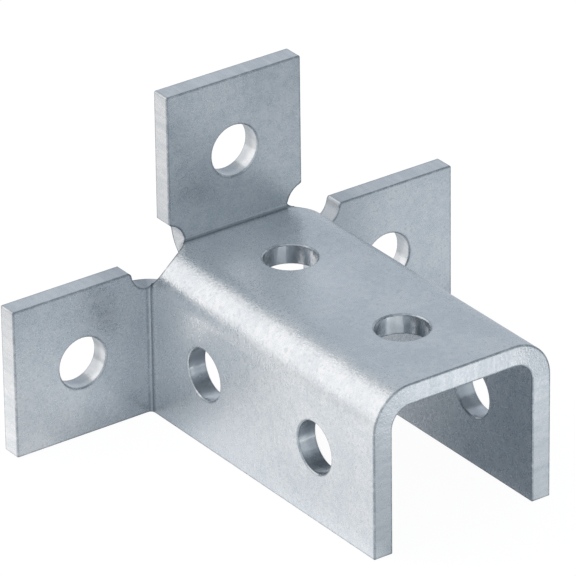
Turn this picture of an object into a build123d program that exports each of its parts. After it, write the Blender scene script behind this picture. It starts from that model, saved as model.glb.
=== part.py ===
from build123d import *
from math import asin, cos, isclose, pi, radians, sin
import os

# Three-way wing connector: one steel plate, punched flat and then folded.
# A channel runs along Y, open below and at its front end (-Y).
# At the back (+Y) its web and its two flanges fold outwards into three square wings.
# A round relief was punched where each long bend meets the folds of two wings.
# The origin is at the middle of the bottom of the bounding box, with Z up.

# Sizes in millimetres
plate = 5.6  # thickness of the steel
channel_width = 54.2  # over the outsides of the two flanges
channel_height = 45.5  # from the flange ends up to the top of the web
channel_length = 95.5  # from the open end to the front faces of the wings
long_bend = 5.5  # inside radius of the two bends along the channel
side_wing_reach = 41.2  # from the outside of a flange to the end of its wing
side_wing_height = 41.2  # from the flange ends up to the top of a side wing
top_wing_width = 41.2
top_wing_rise = 41.2  # from the top of the web to the end of the top wing
wing_bend = 1.2  # inside radius of the three folds at the wings
bend_share = 0.42  # depth of the layer that keeps its length in a long bend, as a share of the plate
fold_share = 0.3  # the same in the folds, which are tighter
wing_corner = 0.5  # outer corners of the wings, seen flat
edge_break = 0.3  # on every edge but those of the reliefs

hole_diameter = 14.0
side_hole_reach = 20.6  # from the outside of a flange to the middle of its wing's hole
side_hole_height = 20.6
top_hole_rise = 20.6  # from the top of the web to the middle of the top wing's hole
web_hole_back = 23.5  # from the front faces of the wings to the first web hole
web_hole_pitch = 47.2
flange_hole_back = 23.5
flange_hole_pitch = 47.2
flange_hole_height = 20.6

relief_diameter = 11.3
relief_depth = 3.8  # how far it runs into the channel, from the front faces of the wings
relief_turn = 41.0  # degrees round the long bend, from the web to the middle of the relief
relief_corner = 1.2  # rounding of the wing corners beside the reliefs
relief_corner_over = 0.1  # that rounding is set out this far past the wing, to meet its edge at an angle

# Worked out from the sizes above
wing_front = (channel_length - plate) / 2
wing_back = wing_front + plate
wing_middle = wing_front + plate / 2
fold_line = wing_front - wing_bend
half_width = channel_width / 2
outer_bend = long_bend + plate
bend_x = half_width - outer_bend
bend_z = channel_height - outer_bend
neutral_radius = long_bend + bend_share * plate
long_bend_flat = neutral_radius * pi / 2
fold_radius = wing_bend + fold_share * plate
fold_flat = fold_radius * pi / 2
hole_radius = hole_diameter / 2
relief_radius = relief_diameter / 2
relief_round = radians(relief_turn) * neutral_radius
relief_back = relief_radius - relief_depth + wing_bend
relief_x = bend_x + relief_round
relief_z = bend_z + long_bend_flat - relief_round
relief_rise = relief_back - fold_flat + wing_bend

# How cuts are made
over = plate  # how far a cut runs past the faces that it opens
rim_slack = wing_bend / 2  # the same for the walls of the reliefs, inside the folds
rim_steps = 12  # spans along a relief's rim


# The plane across the channel at y, with X to the right and Z up in it
def upright(y):
    return Plane((0, y, 0), x_dir=(1, 0, 0), z_dir=(0, -1, 0))


def flat_box(left, right, low, high):
    return Pos((left + right) / 2, (low + high) / 2) * Rectangle(right - left, high - low)


# Next come the places that points of the flat plate move to, on the left side.
# round_bend is a point's distance from the web's straight part, behind its distance
# from the fold line, and depth its distance from the plate's outer face.
def bent_channel(round_bend, behind, depth):
    swing = round_bend / neutral_radius
    radius = outer_bend - depth
    return Vector(-bend_x - radius * sin(swing), fold_line + behind, bend_z + radius * cos(swing))


def folded_up(round_bend, behind, depth):
    turn = behind / fold_radius
    radius = wing_bend + depth
    start = bent_channel(round_bend, 0, depth).X
    end = -bend_x - round_bend
    x = start + (end - start) * behind / fold_flat
    return Vector(x, fold_line + radius * sin(turn), channel_height + wing_bend - radius * cos(turn))


def folded_left(round_bend, behind, depth):
    turn = behind / fold_radius
    radius = wing_bend + depth
    start = bent_channel(round_bend, 0, depth).Z
    end = bend_z + long_bend_flat - round_bend
    z = start + (end - start) * behind / fold_flat
    return Vector(radius * cos(turn) - half_width - wing_bend, fold_line + radius * sin(turn), z)


# The angle on the relief's circle, from level, at a distance behind the fold line
def relief_angle(behind):
    return asin((behind - relief_back) / relief_radius)


# What one stretch of the relief takes away: its walls stand square to the plate
def relief_cut(place, first, last, outwards):
    rims = []
    for depth in (-rim_slack, plate + rim_slack):
        points = []
        for step in range(rim_steps + 1):
            angle = first + (last - first) * step / rim_steps
            round_bend = relief_round + relief_radius * cos(angle)
            behind = relief_back + relief_radius * sin(angle)
            points.append(place(round_bend, behind, depth))
        rims.append(Spline(points).edge())
    return extrude(Face.make_surface_from_curves(*rims), relief_diameter, dir=outwards)


def channel_section():
    outside = flat_box(-half_width, half_width, 0, channel_height)
    outside = fillet(outside.vertices().group_by(Axis.Y)[-1], outer_bend)
    inside = flat_box(plate - half_width, half_width - plate, 0, channel_height - plate)
    inside = fillet(inside.vertices().group_by(Axis.Y)[-1], long_bend)
    section = outside - inside
    return fillet(section.vertices().group_by(Axis.Y)[0], edge_break)


def channel():
    body = extrude(upright(fold_line) * channel_section(), channel_length - wing_bend)
    body = fillet(body.faces().sort_by(Axis.Y)[0].edges(), edge_break)
    start = relief_angle(rim_slack)
    cut = relief_cut(bent_channel, -pi - start, start, (0, 1, 0))
    return body - cut - mirror(cut, Plane.YZ)


# A wing before its relief is cut, with all edges broken but those that join its fold
def wing_plate(outer_corners, joined_side):
    body = extrude(upright(wing_back) * fillet(outer_corners, wing_corner), plate)
    joined = body.faces().sort_by(joined_side)[0].edges()
    faces = body.faces().filter_by(Axis.Y)
    free = [edge for face in faces for edge in face.edges() if edge not in joined]
    return fillet(free, edge_break)


def top_wing():
    rim_x = -bent_channel(relief_round + relief_radius * cos(pi - relief_angle(0)), 0, 0).X
    reach = min(rim_x + rim_slack, top_wing_width / 2)
    strip = flat_box(-reach, reach, channel_height - plate, channel_height)
    axis = Axis((0, fold_line, channel_height + wing_bend), (1, 0, 0))
    fold = revolve(upright(fold_line) * strip, axis, 90)
    first = pi - relief_angle(-rim_slack / 2)
    last = pi - relief_angle(fold_flat + rim_slack / 2)
    cut = relief_cut(folded_up, first, last, (-1, 0, 0))
    fold = fold - cut - mirror(cut, Plane.YZ)

    low = channel_height + wing_bend
    high = channel_height + top_wing_rise
    reach = top_wing_width / 2
    outline = flat_box(-reach, reach, low, high)
    wing = wing_plate(outline.vertices().group_by(Axis.Y)[-1], Axis.Z)
    reach += relief_corner_over
    kept = flat_box(-reach, reach, low, high + over)
    for x in (-relief_x, relief_x):
        kept -= Pos(x, channel_height + relief_rise) * Circle(relief_radius)
    edges = kept.vertices().group_by(Axis.X)
    corners = [edges[0].sort_by(Axis.Y)[0], edges[-1].sort_by(Axis.Y)[0]]
    kept = fillet(corners, relief_corner)
    return fold + (wing & extrude(upright(wing_back) * kept, plate))


def left_wing():
    rim_z = bent_channel(relief_round + relief_radius * cos(relief_angle(0)), 0, 0).Z
    reach = min(rim_z + rim_slack, side_wing_height)
    strip = flat_box(-half_width, plate - half_width, 0, reach)
    strip = fillet(strip.vertices().group_by(Axis.Y)[0], edge_break)
    axis = Axis((-half_width - wing_bend, fold_line, 0), (0, 0, 1))
    fold = revolve(upright(fold_line) * strip, axis, 90)
    first = relief_angle(-rim_slack / 2)
    last = relief_angle(fold_flat + rim_slack / 2)
    fold -= relief_cut(folded_left, first, last, (0, 0, 1))

    near = -half_width - wing_bend
    far = -half_width - side_wing_reach
    outline = flat_box(far, near, 0, side_wing_height)
    wing = wing_plate(outline.vertices().group_by(Axis.X)[0], Axis.X.reverse())
    kept = flat_box(far - over, near, -over, side_wing_height + relief_corner_over)
    kept -= Pos(-half_width - relief_rise, relief_z) * Circle(relief_radius)
    corner = kept.vertices().group_by(Axis.Y)[-1].sort_by(Axis.X)[-1]
    kept = fillet(corner, relief_corner)
    return fold + (wing & extrude(upright(wing_back) * kept, plate))


def hole(x, y, z, along, length=plate):
    return Plane((x, y, z), z_dir=along) * Cylinder(hole_radius, length + 2 * over)


left = left_wing()
body = channel() + top_wing() + left + mirror(left, Plane.YZ)
for back in (web_hole_back, web_hole_back + web_hole_pitch):
    body -= hole(0, wing_front - back, channel_height - plate / 2, (0, 0, 1))
for back in (flange_hole_back, flange_hole_back + flange_hole_pitch):
    body -= hole(0, wing_front - back, flange_hole_height, (1, 0, 0), channel_width)
for x in (-half_width - side_hole_reach, half_width + side_hole_reach):
    body -= hole(x, wing_middle, side_hole_height, (0, 1, 0))
body -= hole(0, wing_middle, channel_height + top_hole_rise, (0, 1, 0))
rims = [edge for edge in body.edges().filter_by(GeomType.CIRCLE) if isclose(edge.radius, hole_radius)]
body = chamfer(rims, edge_break)

os.makedirs("parts", exist_ok=True)
export_step(body, "parts/wing_connector.step")
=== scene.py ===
from math import cos, radians, sin

import bmesh
import bpy
from mathutils import Matrix, Vector

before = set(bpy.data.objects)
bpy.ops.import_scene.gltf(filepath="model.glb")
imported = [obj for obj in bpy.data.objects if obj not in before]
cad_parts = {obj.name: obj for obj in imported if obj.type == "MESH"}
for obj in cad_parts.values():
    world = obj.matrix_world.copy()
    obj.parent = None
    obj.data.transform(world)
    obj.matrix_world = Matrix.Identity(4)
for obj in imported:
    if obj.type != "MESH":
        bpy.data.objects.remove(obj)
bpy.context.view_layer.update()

# A folded steel wing connector on white paper, lit by one softbox behind it on the left.
# Lengths are in metres, as in the frame. The steel's finish works in millimetres.
# Most pairs of numbers say where a fade starts and where it ends.

scene = bpy.context.scene
scene.view_settings.view_transform = "Standard"
mm = 0.001
white = (1, 1, 1, 1)


def makeCamera():
    cameraSettings = {
        "azimuth": -35.402,  # degrees to the left of straight in front
        "elevation": 27.610,
        "roll": 0.733,
        "distance": 1707.3 * mm,
        "target": Vector((-4.39, 16.42, 40.19)) * mm,
        "focalPixels": 6807.1,
        "framePixels": 576,
        "sensorWidth": 36,
    }
    s = cameraSettings
    azimuth, elevation, roll = (radians(s[name]) for name in ("azimuth", "elevation", "roll"))
    back = Vector((sin(azimuth) * cos(elevation), -cos(azimuth) * cos(elevation), sin(elevation)))
    right = Vector((cos(azimuth), sin(azimuth), 0))
    up = back.cross(right)
    # the camera is turned a little about its own line of sight
    right, up = right * cos(roll) - up * sin(roll), up * cos(roll) + right * sin(roll)
    data = bpy.data.cameras.new("camera")
    data.sensor_width = s["sensorWidth"]
    data.lens = s["focalPixels"] / s["framePixels"] * s["sensorWidth"]
    camera = bpy.data.objects.new("camera", data)
    turn = Matrix((right, up, back)).transposed().to_4x4()
    camera.matrix_world = Matrix.Translation(s["target"] + back * s["distance"]) @ turn
    scene.collection.objects.link(camera)
    scene.camera = camera
    print("camera: ready")


# Small helpers for node trees: each adds what it needs and gives back its output

def plug(tree, value, socket):
    if isinstance(value, bpy.types.NodeSocket):
        tree.links.new(value, socket)
    else:
        socket.default_value = value


def calc(tree, operation, *values, clamp=False):
    node = tree.nodes.new("ShaderNodeMath")
    node.operation = operation
    node.use_clamp = clamp
    for value, socket in zip(values, node.inputs):
        plug(tree, value, socket)
    return node.outputs["Value"]


def plus(tree, first, *others):
    for value in others:
        first = calc(tree, "ADD", first, value)
    return first


def times(tree, first, *others):
    for value in others:
        first = calc(tree, "MULTIPLY", first, value)
    return first


# The sum of some values, each taken at its own weight
def weighed(tree, *pairs):
    return plus(tree, *[times(tree, value, weight) for value, weight in pairs])


def opposite(tree, mask):
    return calc(tree, "SUBTRACT", 1.0, mask)


def unsigned(tree, value):
    return calc(tree, "ABSOLUTE", value)


# How far a value is from the middle one, either way
def away(tree, value, middle):
    return unsigned(tree, calc(tree, "SUBTRACT", value, middle))


# A smooth step from 0 to 1, or from low to high, as the value goes from start to end
def ramp(tree, value, start, end, low=0.0, high=1.0):
    node = tree.nodes.new("ShaderNodeMapRange")
    node.interpolation_type = "SMOOTHSTEP"
    parts = {"Value": value, "From Min": start, "From Max": end, "To Min": low, "To Max": high}
    for name, part in parts.items():
        plug(tree, part, node.inputs[name])
    return node.outputs["Result"]


# The same downwards
def fall(tree, value, start, end, high=1.0):
    return ramp(tree, value, start, end, high, 0.0)


def vectorCalc(tree, operation, *values, scale=None, out="Vector"):
    node = tree.nodes.new("ShaderNodeVectorMath")
    node.operation = operation
    for value, socket in zip(values, node.inputs):
        plug(tree, value, socket)
    if scale is not None:
        plug(tree, scale, node.inputs["Scale"])
    return node.outputs[out]


def length(tree, vector):
    return vectorCalc(tree, "LENGTH", vector, out="Value")


def reachTowards(tree, vector, direction):
    return vectorCalc(tree, "DOT_PRODUCT", vector, direction, out="Value")


def joinAxes(tree, x=0.0, y=0.0, z=0.0):
    node = tree.nodes.new("ShaderNodeCombineXYZ")
    for value, socket in zip((x, y, z), node.inputs):
        plug(tree, value, socket)
    return node.outputs["Vector"]


def splitAxes(tree, vector):
    node = tree.nodes.new("ShaderNodeSeparateXYZ")
    plug(tree, vector, node.inputs["Vector"])
    return node.outputs


def noise(tree, vector, scale, detail, roughness):
    node = tree.nodes.new("ShaderNodeTexNoise")
    parts = {"Vector": vector, "Scale": scale, "Detail": detail, "Roughness": roughness}
    for name, part in parts.items():
        plug(tree, part, node.inputs[name])
    return node.outputs["Fac"]


def blendColors(tree, factor, first, second):
    node = tree.nodes.new("ShaderNodeMix")
    node.data_type = "RGBA"
    plug(tree, factor, node.inputs["Factor"])
    plug(tree, first, node.inputs[6])  # the two colours, after the sockets of other types
    plug(tree, second, node.inputs[7])
    return node.outputs[2]


def blendShaders(tree, factor, first, second):
    node = tree.nodes.new("ShaderNodeMixShader")
    plug(tree, factor, node.inputs["Fac"])
    tree.links.new(first, node.inputs[1])
    tree.links.new(second, node.inputs[2])
    return node.outputs["Shader"]


# White paper. The camera sees it white with a faint shadow. Bright metal sees a glow that
# is brightest far in front, dim in front on the right, and dark under the object and close
# about it. Metal also sees a satin coat, which mirrors the softbox.
def makeFloor():
    floorSettings = {
        "radius": 3.0,
        "sides": 64,
        "drop": 0.2 * mm,  # below the part, so that the two never flicker
        "paper": (0.80, 0.80, 0.80, 1),
        "cameraGlow": 1.06,
        "shadowShare": 0.10,  # how much of the lit paper the camera still sees
        "glossShare": 0.85,  # how much of the paper, as metal sees it, is the glow
        "satin": 0.64,  # how much of what metal sees is mirrored in the paper's coat
        "satinRoughness": 0.38,
        "glowInFront": (1.44, 1.46, 1.49, 1),
        "glowFar": (3.60, 3.57, 3.58, 1),  # further out in front
        "farAhead": (-0.120, -0.075),  # metres along Y
        "glowDim": (0.24, 0.28, 0.32, 1),  # in front on the right
        "dimRight": (0.064, 0.088),
        "dimAhead": (-0.055, -0.025),
        "glowBehind": (1.52, 1.47, 1.44, 1),  # on the softbox's side
        "lampTowards": (-1, 0.1, 0),
        "lampSide": (0.028, 0.052),  # metres towards the softbox
        "glowBeyond": (0.45, 0.44, 0.43, 1),  # the same side, further out
        "beyond": (0.10, 0.17),  # metres from the middle
        "glowNear": (0.88, 0.91, 0.95, 1),  # before the open end and beside the left flange
        "nearAhead": (-0.068, -0.048),
        "nearLeft": (0.0, 0.040),
        "besideLeft": (-0.036, -0.028),
        "besideAhead": (-0.012, 0.014),
        "shadeTint": (0.09, 0.14, 0.20, 1),  # the glow in full shade
        "shadeReach": 0.06,  # how near the object has to be to shade the glow
        "shadeSamples": 6,
        "openSky": (0.07, 0.28),  # shares of open sky at which the glow starts and is full
        "underWidth": (0.018, 0.026),  # the paper under the channel, from its middle line out
        "underLength": (0.046, 0.066),
        "underShade": 0.82,
        "underCoat": 0.35,  # how much duller the coat is there
        "footShade": 0.36,  # the paper at the foot of the left wing
        "footBack": (0.026, 0.042),
        "footLeft": (-0.060, -0.048),
        "footCoat": 0.6,
    }
    s = floorSettings
    mesh = bpy.data.meshes.new("floor")
    shape = bmesh.new()
    bmesh.ops.create_circle(shape, cap_ends=True, segments=s["sides"], radius=s["radius"])
    bmesh.ops.translate(shape, verts=shape.verts, vec=(0, 0, -s["drop"]))
    shape.to_mesh(mesh)
    shape.free()
    floor = bpy.data.objects.new("floor", mesh)
    scene.collection.objects.link(floor)

    paper = bpy.data.materials.new("whitePaper")
    paper.use_nodes = True
    tree = paper.node_tree
    tree.nodes.clear()
    path = tree.nodes.new("ShaderNodeLightPath").outputs
    toCamera = path["Is Camera Ray"]
    mirrored = calc(tree, "MAXIMUM", path["Is Glossy Ray"], path["Is Transmission Ray"])
    place = tree.nodes.new("ShaderNodeTexCoord").outputs["Object"]
    x, y = splitAxes(tree, place)[:2]

    # where each shade of the glow lies
    far = fall(tree, y, *s["farAhead"])
    dim = times(tree, ramp(tree, x, *s["dimRight"]), fall(tree, y, *s["dimAhead"]))
    lampSide = ramp(tree, reachTowards(tree, place, s["lampTowards"]), *s["lampSide"])
    beyond = ramp(tree, length(tree, place), *s["beyond"])
    near = times(tree, fall(tree, y, *s["nearAhead"]), fall(tree, x, *s["nearLeft"]))
    beside = times(tree, fall(tree, x, *s["besideLeft"]), fall(tree, y, *s["besideAhead"]))
    near = calc(tree, "MAXIMUM", near, beside)
    foot = ramp(tree, y, *s["footBack"], 0.0, s["footShade"])
    foot = times(tree, foot, ramp(tree, x, *s["footLeft"]))
    under = times(tree, fall(tree, unsigned(tree, x), *s["underWidth"]),
                  fall(tree, unsigned(tree, y), *s["underLength"]))
    shade = tree.nodes.new("ShaderNodeAmbientOcclusion")
    shade.samples = s["shadeSamples"]
    shade.inputs["Distance"].default_value = s["shadeReach"]
    openSky = ramp(tree, shade.outputs["AO"], *s["openSky"])

    tint = blendColors(tree, far, s["glowInFront"], s["glowFar"])
    tint = blendColors(tree, dim, tint, s["glowDim"])
    behind = blendColors(tree, beyond, s["glowBehind"], s["glowBeyond"])
    tint = blendColors(tree, lampSide, tint, behind)
    tint = blendColors(tree, foot, tint, s["shadeTint"])
    tint = blendColors(tree, near, tint, s["glowNear"])
    tint = blendColors(tree, openSky, s["shadeTint"], tint)
    tint = blendColors(tree, times(tree, under, s["underShade"]), tint, s["shadeTint"])
    tint = blendColors(tree, toCamera, tint, white)
    glow = tree.nodes.new("ShaderNodeEmission")
    tree.links.new(tint, glow.inputs["Color"])
    strength = plus(tree, mirrored, times(tree, toCamera, s["cameraGlow"]))
    tree.links.new(strength, glow.inputs["Strength"])

    lit = tree.nodes.new("ShaderNodeBsdfDiffuse")
    lit.inputs["Color"].default_value = s["paper"]
    share = calc(tree, "ADD", times(tree, mirrored, s["glossShare"]),
                 times(tree, toCamera, 1 - s["shadowShare"]), clamp=True)
    surface = blendShaders(tree, share, lit.outputs[0], glow.outputs[0])

    coat = tree.nodes.new("ShaderNodeBsdfGlossy")
    coat.inputs["Roughness"].default_value = s["satinRoughness"]
    coatShade = calc(tree, "MAXIMUM", times(tree, under, s["underCoat"]),
                     times(tree, foot, s["footCoat"]))
    tree.links.new(blendColors(tree, coatShade, white, s["shadeTint"]), coat.inputs["Color"])
    satin = times(tree, mirrored, s["satin"])
    surface = blendShaders(tree, satin, surface, coat.outputs[0])

    # from underneath the paper is clear, so that the part's underside can be looked at
    clear = tree.nodes.new("ShaderNodeBsdfTransparent")
    underneath = tree.nodes.new("ShaderNodeNewGeometry").outputs["Backfacing"]
    surface = blendShaders(tree, underneath, surface, clear.outputs[0])
    out = tree.nodes.new("ShaderNodeOutputMaterial")
    tree.links.new(surface, out.inputs["Surface"])
    mesh.materials.append(paper)
    print("floor: white paper")


# The room: cool walls with two paler patches and a dark patch of ceiling. The camera
# itself sees white.
def makeRoom():
    roomSettings = {
        "wallInFront": (0.65, 0.695, 0.735, 1),
        "wallBehind": (0.64, 0.685, 0.74, 1),
        "turn": (-0.5, 0.5),  # sines of the angles at which the one becomes the other
        # each patch's shade, which way it lies, and the cosines of the angles from there
        # at which it starts and is full
        "patches": {
            "paleWall": ((0.98, 1.01, 1.04, 1), (-0.513, -0.722, 0.463), 0.86, 0.95),
            "ceiling": ((0.26, 0.29, 0.32, 1), (0.45, -0.25, 0.857), 0.82, 0.95),
            "besideLamp": ((0.73, 0.74, 0.75, 1), (-0.68, 0.64, 0.46), 0.5, 0.85),
        },
    }
    s = roomSettings
    world = bpy.data.worlds.new("room")
    scene.world = world
    world.use_nodes = True
    tree = world.node_tree
    tree.nodes.clear()
    look = tree.nodes.new("ShaderNodeTexCoord").outputs["Generated"]
    turned = ramp(tree, splitAxes(tree, look)["Y"], *s["turn"])
    shade = blendColors(tree, turned, s["wallInFront"], s["wallBehind"])
    for color, towards, edge, full in s["patches"].values():
        reach = reachTowards(tree, look, Vector(towards).normalized())
        shade = blendColors(tree, ramp(tree, reach, edge, full), shade, color)
    room = tree.nodes.new("ShaderNodeBackground")
    tree.links.new(shade, room.inputs["Color"])
    backdrop = tree.nodes.new("ShaderNodeBackground")
    backdrop.inputs["Color"].default_value = white
    toCamera = tree.nodes.new("ShaderNodeLightPath").outputs["Is Camera Ray"]
    out = tree.nodes.new("ShaderNodeOutputWorld")
    surface = blendShaders(tree, toCamera, room.outputs[0], backdrop.outputs[0])
    tree.links.new(surface, out.inputs["Surface"])
    print("room: cool walls and a dark ceiling")


def makeSoftbox():
    softboxSettings = {
        "towards": (-0.68, 0.64, 0.46),
        "aim": Vector((0, 0, 40)) * mm,
        "distance": 1.2,
        "size": (1.30, 1.30),
        "power": 4.5,
        "color": (1.0, 0.90, 0.84),
    }
    s = softboxSettings
    data = bpy.data.lights.new("softbox", "AREA")
    data.shape = "RECTANGLE"
    data.size, data.size_y = s["size"]
    data.energy = s["power"]
    data.color = s["color"]
    softbox = bpy.data.objects.new("softbox", data)
    towards = Vector(s["towards"]).normalized()
    turn = towards.to_track_quat("Z", "Y").to_matrix().to_4x4()
    softbox.matrix_world = Matrix.Translation(s["aim"] + towards * s["distance"]) @ turn
    scene.collection.objects.link(softbox)
    print("lamp: softbox")


def newGroup(name, inputs, outputs):
    group = bpy.data.node_groups.new(name, "ShaderNodeTree")
    for label, kind, value in inputs:
        socket = group.interface.new_socket(
            name=label, in_out="INPUT", socket_type="NodeSocket" + kind)
        if value is not None:
            socket.default_value = value
    for label, kind in outputs:
        group.interface.new_socket(
            name=label, in_out="OUTPUT", socket_type="NodeSocket" + kind)
    given = group.nodes.new("NodeGroupInput").outputs
    result = group.nodes.new("NodeGroupOutput").inputs
    return group, given, result


def placeGroup(tree, group, **values):
    node = tree.nodes.new("ShaderNodeGroup")
    node.node_tree = group
    for label, value in values.items():
        plug(tree, value, node.inputs[label])
    return node.outputs


# Where a point lies in the folded plate. One rule covers the web, bends, flanges, folds
# and wings: Depth is how far it is below the outer face, in mm, and Turn how far round
# a wing's fold it is, in degrees. Along is how far past the start of that fold it lies,
# following the outer face, Beyond how far past its end, and Middle the nearest point of
# the plate's mid layer. Sheared is 1 on the faces that run through the thickness.
def plateMap():
    plateSettings = {
        "sizes": {
            "Plate": 5.6,
            "Bend Side": 16.0,
            "Bend Height": 34.4,
            "Bend Radius": 11.1,  # outside
            "Fold Line": 43.75,
            "Fold Radius": 1.2,  # inside
        },
        "sheared": (0.2, 0.5),  # mm from either face of the plate
        "midFold": 45.0,  # degrees
    }
    s = plateSettings
    inputs = [("Place", "Vector", None)]
    inputs += [(label, "Float", value) for label, value in s["sizes"].items()]
    numbers = [(label, "Float") for label in ("Depth", "Sheared", "Turn", "Along", "Beyond")]
    group, given, result = newGroup("plateMap", inputs, numbers + [("Middle", "Vector")])
    x, y, z = splitAxes(group, given["Place"])

    # the spine is the nearest point of the hollow's core, which the two bends turn about
    side = calc(group, "MAXIMUM", x, times(group, given["Bend Side"], -1.0))
    side = calc(group, "MINIMUM", side, given["Bend Side"])
    spine = joinAxes(group, side, y, calc(group, "MINIMUM", z, given["Bend Height"]))
    spoke = vectorCalc(group, "SUBTRACT", given["Place"], spine)
    spokeLength = length(group, spoke)
    foldCentre = plus(group, given["Bend Radius"], given["Fold Radius"])
    pastFold = calc(group, "SUBTRACT", y, given["Fold Line"])
    under = calc(group, "MAXIMUM", calc(group, "SUBTRACT", foldCentre, spokeLength), 0.0)
    behind = calc(group, "MAXIMUM", pastFold, 0.0)
    reach = length(group, joinAxes(group, under, behind))
    depth = calc(group, "SUBTRACT", reach, given["Fold Radius"])
    turn = calc(group, "DEGREES", calc(group, "ARCTAN2", behind, under))
    beyond = calc(group, "MAXIMUM", calc(group, "SUBTRACT", spokeLength, foldCentre), 0.0)
    before = calc(group, "MINIMUM", pastFold, 0.0)
    foldArc = times(group, calc(group, "RADIANS", turn), given["Fold Radius"])
    inside = calc(group, "MINIMUM", depth, calc(group, "SUBTRACT", given["Plate"], depth))

    half = times(group, given["Plate"], 0.5)
    shell = calc(group, "SUBTRACT", given["Bend Radius"], half)
    outwards = vectorCalc(group, "NORMALIZE", spoke)
    onChannel = vectorCalc(group, "ADD", spine,
                           vectorCalc(group, "SCALE", outwards, scale=shell))
    wingLayer = plus(group, given["Fold Line"], given["Fold Radius"], half)
    middle = group.nodes.new("ShaderNodeMix")
    middle.data_type = "VECTOR"
    group.links.new(calc(group, "GREATER_THAN", turn, s["midFold"]), middle.inputs["Factor"])
    group.links.new(onChannel, middle.inputs[4])  # the two vectors
    group.links.new(joinAxes(group, x, wingLayer, z), middle.inputs[5])

    group.links.new(depth, result["Depth"])
    group.links.new(ramp(group, inside, *s["sheared"]), result["Sheared"])
    group.links.new(turn, result["Turn"])
    group.links.new(plus(group, before, foldArc, beyond), result["Along"])
    group.links.new(beyond, result["Beyond"])
    group.links.new(middle.outputs[1], result["Middle"])
    return group


# Thin dark edge lines, part wear and part painted shade, made patchy by a fine pattern
def edgeWearAndShade():
    edgeLineSettings = {
        "width": 0.65 * mm,
        "patchSize": 1.5,  # in mm
        "patchDetail": 3.0,
        "patchRoughness": 0.6,
        "patches": (0.3, 0.6),
        "thinnest": 0.4,
        "strength": 3.0,
        "samples": 8,
    }
    s = edgeLineSettings
    inputs = [("Place", "Vector", None), ("Width", "Float", s["width"]),
              ("Patch Size", "Float", s["patchSize"])]
    group, given, result = newGroup("edgeWearAndShade", inputs, [("Mask", "Float")])
    edge = group.nodes.new("ShaderNodeAmbientOcclusion")
    edge.inside = True
    edge.only_local = True
    edge.samples = s["samples"]
    group.links.new(given["Width"], edge.inputs["Distance"])
    wornAndShaded = times(group, opposite(group, edge.outputs["AO"]), s["strength"])
    scale = calc(group, "DIVIDE", 1.0, given["Patch Size"])
    patches = noise(group, given["Place"], scale, s["patchDetail"], s["patchRoughness"])
    patches = ramp(group, patches, *s["patches"], s["thinnest"])
    mask = calc(group, "MULTIPLY", wornAndShaded, patches, clamp=True)
    group.links.new(mask, result["Mask"])
    return group


# The grain of the zinc: broad clouds, mottle of a millimetre or two, and fine sparkle
def zincGrain():
    grainSettings = {
        "sizes": {"Cloud": 14.0, "Mottle": 2.2, "Ripple": 0.9, "Sparkle": 0.5},  # in mm
        "details": {"Cloud": 3.0, "Mottle": 3.0, "Ripple": 1.0, "Sparkle": 1.0},
        "roughness": 0.55,
    }
    s = grainSettings
    inputs = [("Place", "Vector", None)]
    inputs += [(label + " Size", "Float", across) for label, across in s["sizes"].items()]
    outputs = [(label, "Float") for label in s["sizes"]]
    group, given, result = newGroup("zincGrain", inputs, outputs)
    for label, detail in s["details"].items():
        scale = calc(group, "DIVIDE", 1.0, given[label + " Size"])
        pattern = noise(group, given["Place"], scale, detail, s["roughness"])
        group.links.new(pattern, result[label])
    return group


# 1 on the walls of the nine round holes. Each row is one way through the plate: the two
# axes across it, and the middle of the hole or of each mirrored pair, in mm.
def punchedWalls(tree, place, sheared):
    holeSettings = {
        "reach": 7.6,  # mm from the middle of a hole, just past its wall
        "pairsMiddle": -2.15,  # halfway between the two holes of the web, and of a flange
        "rows": {
            "web": ("X", 0.0, "Y", 23.6),
            "flanges": ("Z", 20.6, "Y", 23.6),
            "sideWings": ("Z", 20.6, "X", 47.7),
            "topWing": ("X", 0.0, "Z", 66.1),
        },
    }
    s = holeSettings
    x, y, z = splitAxes(tree, place)
    across = {"X": unsigned(tree, x), "Y": away(tree, y, s["pairsMiddle"]), "Z": z}
    walls = 0.0
    for first, firstMiddle, second, secondMiddle in s["rows"].values():
        fromMiddle = joinAxes(tree, calc(tree, "SUBTRACT", across[first], firstMiddle),
                              calc(tree, "SUBTRACT", across[second], secondMiddle))
        near = calc(tree, "LESS_THAN", length(tree, fromMiddle), s["reach"])
        walls = calc(tree, "MAXIMUM", walls, near)
    return times(tree, walls, sheared)


# 1 on the walls of the reliefs beside the side wings, where shade is painted
def reliefWalls(tree, place, sheared):
    reliefSettings = {  # in mm
        "out": (23.0, 25.0),  # from the middle of the part
        "furthest": 33.0,
        "back": (42.5, 44.5),
        "height": 37.3,
        "reach": 3.6,  # above and below that height
    }
    s = reliefSettings
    x, y, z = splitAxes(tree, place)
    beside = times(tree, ramp(tree, unsigned(tree, x), *s["out"]), ramp(tree, y, *s["back"]))
    high = calc(tree, "LESS_THAN", away(tree, z, s["height"]), s["reach"])
    near = calc(tree, "LESS_THAN", unsigned(tree, x), s["furthest"])
    return times(tree, beside, high, near, sheared)


# Shades that more than one layer of the finish uses
zincShades = {
    "pitted": (0.36, 0.41, 0.46, 1),
    # darkened: the torn part of punched walls, and painted shade in the reliefs, folds and wings
    "darkened": (0.22, 0.26, 0.30, 1),
    # lightened: painted light on the flat channel, and a pale band beside the flange folds
    "lightened": (0.78, 0.81, 0.84, 1),
}


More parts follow.
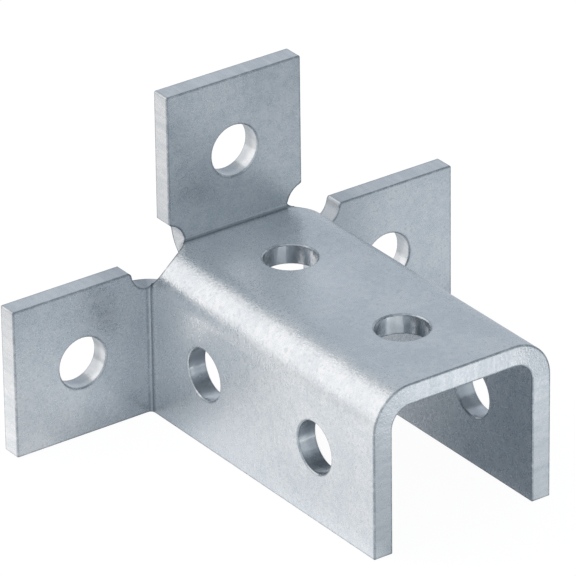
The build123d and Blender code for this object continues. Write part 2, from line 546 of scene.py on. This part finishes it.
# Rolled faces: clouds, mottle and sparkle between a dark and a pale zinc, with small pits
def rolledZinc(tree, grain):
    rolledSettings = {
        "pale": (0.64, 0.675, 0.705, 1),
        "dark": (0.54, 0.59, 0.63, 1),
        "clouds": 0.4,
        "mottle": 0.5,
        "sparkle": 0.1,
        "tones": (0.38, 0.62),
        "mottleInPits": 0.5,
        "pits": (0.86, 0.98),
        "pitShare": 0.35,
    }
    s = rolledSettings
    tone = weighed(tree, (grain["Cloud"], s["clouds"]), (grain["Mottle"], s["mottle"]),
                   (grain["Sparkle"], s["sparkle"]))
    color = blendColors(tree, ramp(tree, tone, *s["tones"]), s["dark"], s["pale"])
    pits = plus(tree, grain["Ripple"], times(tree, grain["Mottle"], s["mottleInPits"]))
    pits = times(tree, ramp(tree, pits, *s["pits"]), s["pitShare"])
    return blendColors(tree, pits, color, zincShades["pitted"])


# Sheared faces: streaks through the thickness, over mottle and broad blotches
def shearedZinc(tree, grain, streaks, blotches):
    shearedSettings = {
        "pale": (0.67, 0.70, 0.725, 1),
        "dark": (0.56, 0.60, 0.635, 1),
        "streaks": 0.4,
        "mottle": 0.3,
        "blotches": 0.3,
        "tones": (0.36, 0.64),
    }
    s = shearedSettings
    tone = weighed(tree, (streaks, s["streaks"]), (grain["Mottle"], s["mottle"]),
                   (blotches, s["blotches"]))
    return blendColors(tree, ramp(tree, tone, *s["tones"]), s["dark"], s["pale"])


# How dark the tight inside of each wing's fold is painted: a dark line along each side of it,
# partly crease marks and partly painted shade, and painted shade over the fold's curve. The top
# wing has only the line beside the web.
def foldCreasesAndShade(tree, plate, grain, onSide):
    foldSettings = {
        "channelLine": 0.15,  # mm past the start of the fold
        "channelLineEdge": (0.15, 0.70),
        "channelLineLoss": 0.3,  # how much fainter this line is at a side fold
        "wingLine": 1.35,
        "wingLineEdge": (0.10, 0.60),
        "mottle": (0.3, 0.6),
        "lineShares": (0.30, 0.55),
        "stripStart": (0.0, 20.0),  # degrees round the fold
        "stripEnd": (70.0, 90.0),
        "sideShare": 0.50,
        "topTurn": (20.0, 60.0),
        "topShares": (0.30, 0.60),
        "skin": (0.3, 0.6),  # mm below the outer face
    }
    s = foldSettings
    byChannel = fall(tree, away(tree, plate["Along"], s["channelLine"]), *s["channelLineEdge"])
    kept = opposite(tree, times(tree, onSide, s["channelLineLoss"]))
    byWing = fall(tree, away(tree, plate["Along"], s["wingLine"]), *s["wingLineEdge"])
    lines = calc(tree, "ADD", times(tree, byChannel, kept), times(tree, byWing, onSide),
                 clamp=True)
    lines = times(tree, lines, ramp(tree, grain["Mottle"], *s["mottle"], *s["lineShares"]))
    strip = times(tree, ramp(tree, plate["Turn"], *s["stripStart"]),
                  fall(tree, plate["Turn"], *s["stripEnd"]))
    onTop = times(tree, opposite(tree, onSide),
                  ramp(tree, plate["Turn"], *s["topTurn"], *s["topShares"]))
    strip = times(tree, strip, plus(tree, times(tree, onSide, s["sideShare"]), onTop))
    foldDark = calc(tree, "ADD", lines, strip, clamp=True)
    return times(tree, foldDark, fall(tree, plate["Depth"], *s["skin"]))


# Painted light: the flat channel is painted paler towards the wings, most of all on
# its left. The crown of the long bends is left out.
def paintedPalerChannel(tree, plate, x, z, onChannel):
    palerSettings = {  # in mm
        "along": (-60.0, -28.0),  # before the folds
        "share": 0.60,
        "left": (-2.0, 12.0),
        "crownOut": (18.0, 21.0),
        "crownUp": (36.5, 39.5),
    }
    s = palerSettings
    crown = times(tree, ramp(tree, unsigned(tree, x), *s["crownOut"]),
                  ramp(tree, z, *s["crownUp"]))
    paler = times(tree, ramp(tree, plate["Along"], *s["along"], 0.0, s["share"]), onChannel)
    return times(tree, paler, fall(tree, x, *s["left"]), opposite(tree, crown))


# Dark specks where the web runs into a long bend, densest in its first degrees
def bendSpecks(tree, grain, x, z, onChannel):
    speckSettings = {
        "out": (11.0, 17.0),  # mm from the middle of the web
        "up": (42.8, 44.6),
        "sparkle": 0.65,
        "mottle": 0.35,
        "tones": (0.56, 0.62),
        "share": 0.60,
    }
    s = speckSettings
    band = times(tree, ramp(tree, unsigned(tree, x), *s["out"]), ramp(tree, z, *s["up"]))
    tone = weighed(tree, (grain["Sparkle"], s["sparkle"]), (grain["Mottle"], s["mottle"]))
    return times(tree, ramp(tree, tone, *s["tones"]), band, onChannel, s["share"])


# Painted shade on the wings near their folds, the side wings twice as much
def paintedShadeOnWings(tree, plate, onSide):
    wingShadeSettings = {
        "wingTurn": 60.0,  # degrees round the fold, from where the plate counts as a wing
        "past": (0.0, 24.0),  # mm past the fold
        "share": 0.20,
    }
    s = wingShadeSettings
    onWing = calc(tree, "GREATER_THAN", plate["Turn"], s["wingTurn"])
    shadedNearFold = times(tree, fall(tree, plate["Beyond"], *s["past"], s["share"]), onWing)
    return times(tree, shadedNearFold, plus(tree, onSide, 1.0))


# A pale band on the flanges, just before their folds
def paleFoldBand(tree, plate, grain, onSide):
    bandSettings = {
        "start": (-2.4, -1.4),  # mm before the fold
        "end": (-0.8, -0.4),
        "mottle": (0.35, 0.6),
        "thinnest": 0.5,
    }
    s = bandSettings
    band = times(tree, ramp(tree, plate["Along"], *s["start"]),
                 fall(tree, plate["Along"], *s["end"]))
    return times(tree, band, onSide, ramp(tree, grain["Mottle"], *s["mottle"], s["thinnest"]))


# A place drawn in towards the plate's mid layer, so that a pattern stretches through it
def drawnIn(tree, place, middle, share):
    off = vectorCalc(tree, "SUBTRACT", place, middle)
    return vectorCalc(tree, "ADD", middle, vectorCalc(tree, "SCALE", off, scale=share))


def zincPlatedSteel():
    steelSettings = {
        "metallic": 0.83,
        "streaks": (0.8, 2.0, 0.6),  # patterns to a mm, their detail and roughness
        "blotches": (0.2, 2.0, 0.5),
        "waves": (0.4, 1.0, 0.5),
        "streakDepth": 0.15,  # how much of its pace a pattern keeps through the plate
        "waveDepth": 0.5,
        "midTone": 0.5,  # the middle of every pattern
        "sideFolds": (23.0, 26.0),  # mm from the middle, where the side wings' folds start
        "channelTurn": 5.0,  # degrees round a fold, up to where the plate counts as channel
        "bendOut": (14.5, 17.5),  # mm, from where the plate counts as a long bend
        "bendUp": (32.0, 36.0),
        "torn": (1.2, 3.6),  # mm below the outer face
        "tornSpread": 4.0,
        "tornShare": 0.4,
        "reliefShare": 0.6,
        "edged": (0.12, 0.15, 0.18, 1),
        "edgedShare": 0.9,
        "roughness": 0.29,
        "smoothest": 0.15,
        "roughnessOf": {"Mottle": 0.10, "Ripple": 0.12},
        "wallRoughness": 0.20,
        "heightOf": {"Mottle": 0.04 * mm, "Ripple": 0.03 * mm, "Sparkle": 0.026 * mm},
        "moreOnBends": 1.6,  # the stretched zinc there sparkles more
        "smootherWalls": 0.7,
        "streakHeight": 0.02 * mm,
        "tearDepth": 0.03 * mm,  # how far the torn part of a punched wall stands back
        "waveHeight": 0.08 * mm,
        "waveOnWalls": 0.6,
        "waveOnSheared": 0.4,
    }
    s = steelSettings
    steel = bpy.data.materials.new("zincPlatedSteel")
    steel.use_nodes = True
    tree = steel.node_tree
    shader = tree.nodes["Principled BSDF"]
    coords = tree.nodes.new("ShaderNodeTexCoord").outputs["Object"]
    place = vectorCalc(tree, "SCALE", coords, scale=1 / mm)  # in mm from here on
    axes = splitAxes(tree, place)
    x, z = axes["X"], axes["Z"]

    plate = placeGroup(tree, plateMap(), Place=place)
    grain = placeGroup(tree, zincGrain(), Place=place)
    wornAndShaded = placeGroup(tree, edgeWearAndShade(), Place=place)["Mask"]
    middle = plate["Middle"]
    streaks = noise(tree, drawnIn(tree, place, middle, s["streakDepth"]), *s["streaks"])
    blotches = noise(tree, middle, *s["blotches"])
    waves = noise(tree, drawnIn(tree, place, middle, s["waveDepth"]), *s["waves"])

    # where the point lies
    walls = punchedWalls(tree, place, plate["Sheared"])
    relieved = reliefWalls(tree, place, plate["Sheared"])
    onSide = ramp(tree, unsigned(tree, x), *s["sideFolds"])
    onChannel = calc(tree, "LESS_THAN", plate["Turn"], s["channelTurn"])
    bent = times(tree, ramp(tree, unsigned(tree, x), *s["bendOut"]),
                 ramp(tree, z, *s["bendUp"]), onChannel)
    # a punched wall is burnished near the face that the punch entered, and torn below it
    spread = times(tree, calc(tree, "SUBTRACT", blotches, s["midTone"]), s["tornSpread"])
    torn = times(tree, ramp(tree, plus(tree, plate["Depth"], spread), *s["torn"]), walls)

    # the layers of the finish, with painted shade and light among them, from the bare zinc up
    color = blendColors(tree, plate["Sheared"], rolledZinc(tree, grain),
                        shearedZinc(tree, grain, streaks, blotches))
    layers = [
        (times(tree, torn, s["tornShare"]), zincShades["darkened"]),
        # painted shade on the relief walls
        (times(tree, relieved, s["reliefShare"]), zincShades["darkened"]),
        # crease lines and painted shade in the folds
        (foldCreasesAndShade(tree, plate, grain, onSide), zincShades["darkened"]),
        # painted light on the flat channel
        (paintedPalerChannel(tree, plate, x, z, onChannel), zincShades["lightened"]),
        (bendSpecks(tree, grain, x, z, onChannel), zincShades["pitted"]),
        # painted shade on the wings near their folds
        (paintedShadeOnWings(tree, plate, onSide), zincShades["darkened"]),
        (paleFoldBand(tree, plate, grain, onSide), zincShades["lightened"]),
        # dark edge lines, part wear and part painted shade
        (times(tree, wornAndShaded, s["edgedShare"]), s["edged"]),
    ]
    for mask, shade in layers:
        color = blendColors(tree, mask, color, shade)
    tree.links.new(color, shader.inputs["Base Color"])
    shader.inputs["Metallic"].default_value = s["metallic"]

    onWalls = times(tree, walls, s["wallRoughness"] - s["roughness"])
    roughness = plus(tree, onWalls, s["roughness"])
    for label, reach in s["roughnessOf"].items():
        around = calc(tree, "SUBTRACT", grain[label], s["midTone"])
        roughness = plus(tree, roughness, times(tree, around, reach * 2))
    roughness = calc(tree, "MAXIMUM", roughness, s["smoothest"])
    tree.links.new(roughness, shader.inputs["Roughness"])

    height = times(tree, streaks, plate["Sheared"], s["streakHeight"])
    height = calc(tree, "SUBTRACT", height, times(tree, torn, s["tearDepth"]))
    waved = weighed(tree, (walls, s["waveOnWalls"]), (plate["Sheared"], s["waveOnSheared"]))
    height = plus(tree, height, times(tree, waves, waved, s["waveHeight"]))
    rough = opposite(tree, times(tree, walls, s["smootherWalls"]))
    stretched = plus(tree, times(tree, bent, s["moreOnBends"]), 1.0)
    for label, grainHeight in s["heightOf"].items():
        bumps = times(tree, grain[label], rough, grainHeight)
        if label == "Sparkle":
            bumps = times(tree, bumps, stretched)
        height = plus(tree, height, bumps)
    bump = tree.nodes.new("ShaderNodeBump")
    bump.inputs["Distance"].default_value = 1.0
    tree.links.new(height, bump.inputs["Height"])
    tree.links.new(bump.outputs["Normal"], shader.inputs["Normal"])
    return steel


makeCamera()
makeFloor()
makeRoom()
makeSoftbox()
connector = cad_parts["wing_connector"]
connector.material_slots[0].material = zincPlatedSteel()
print("connector: zinc-plated steel")
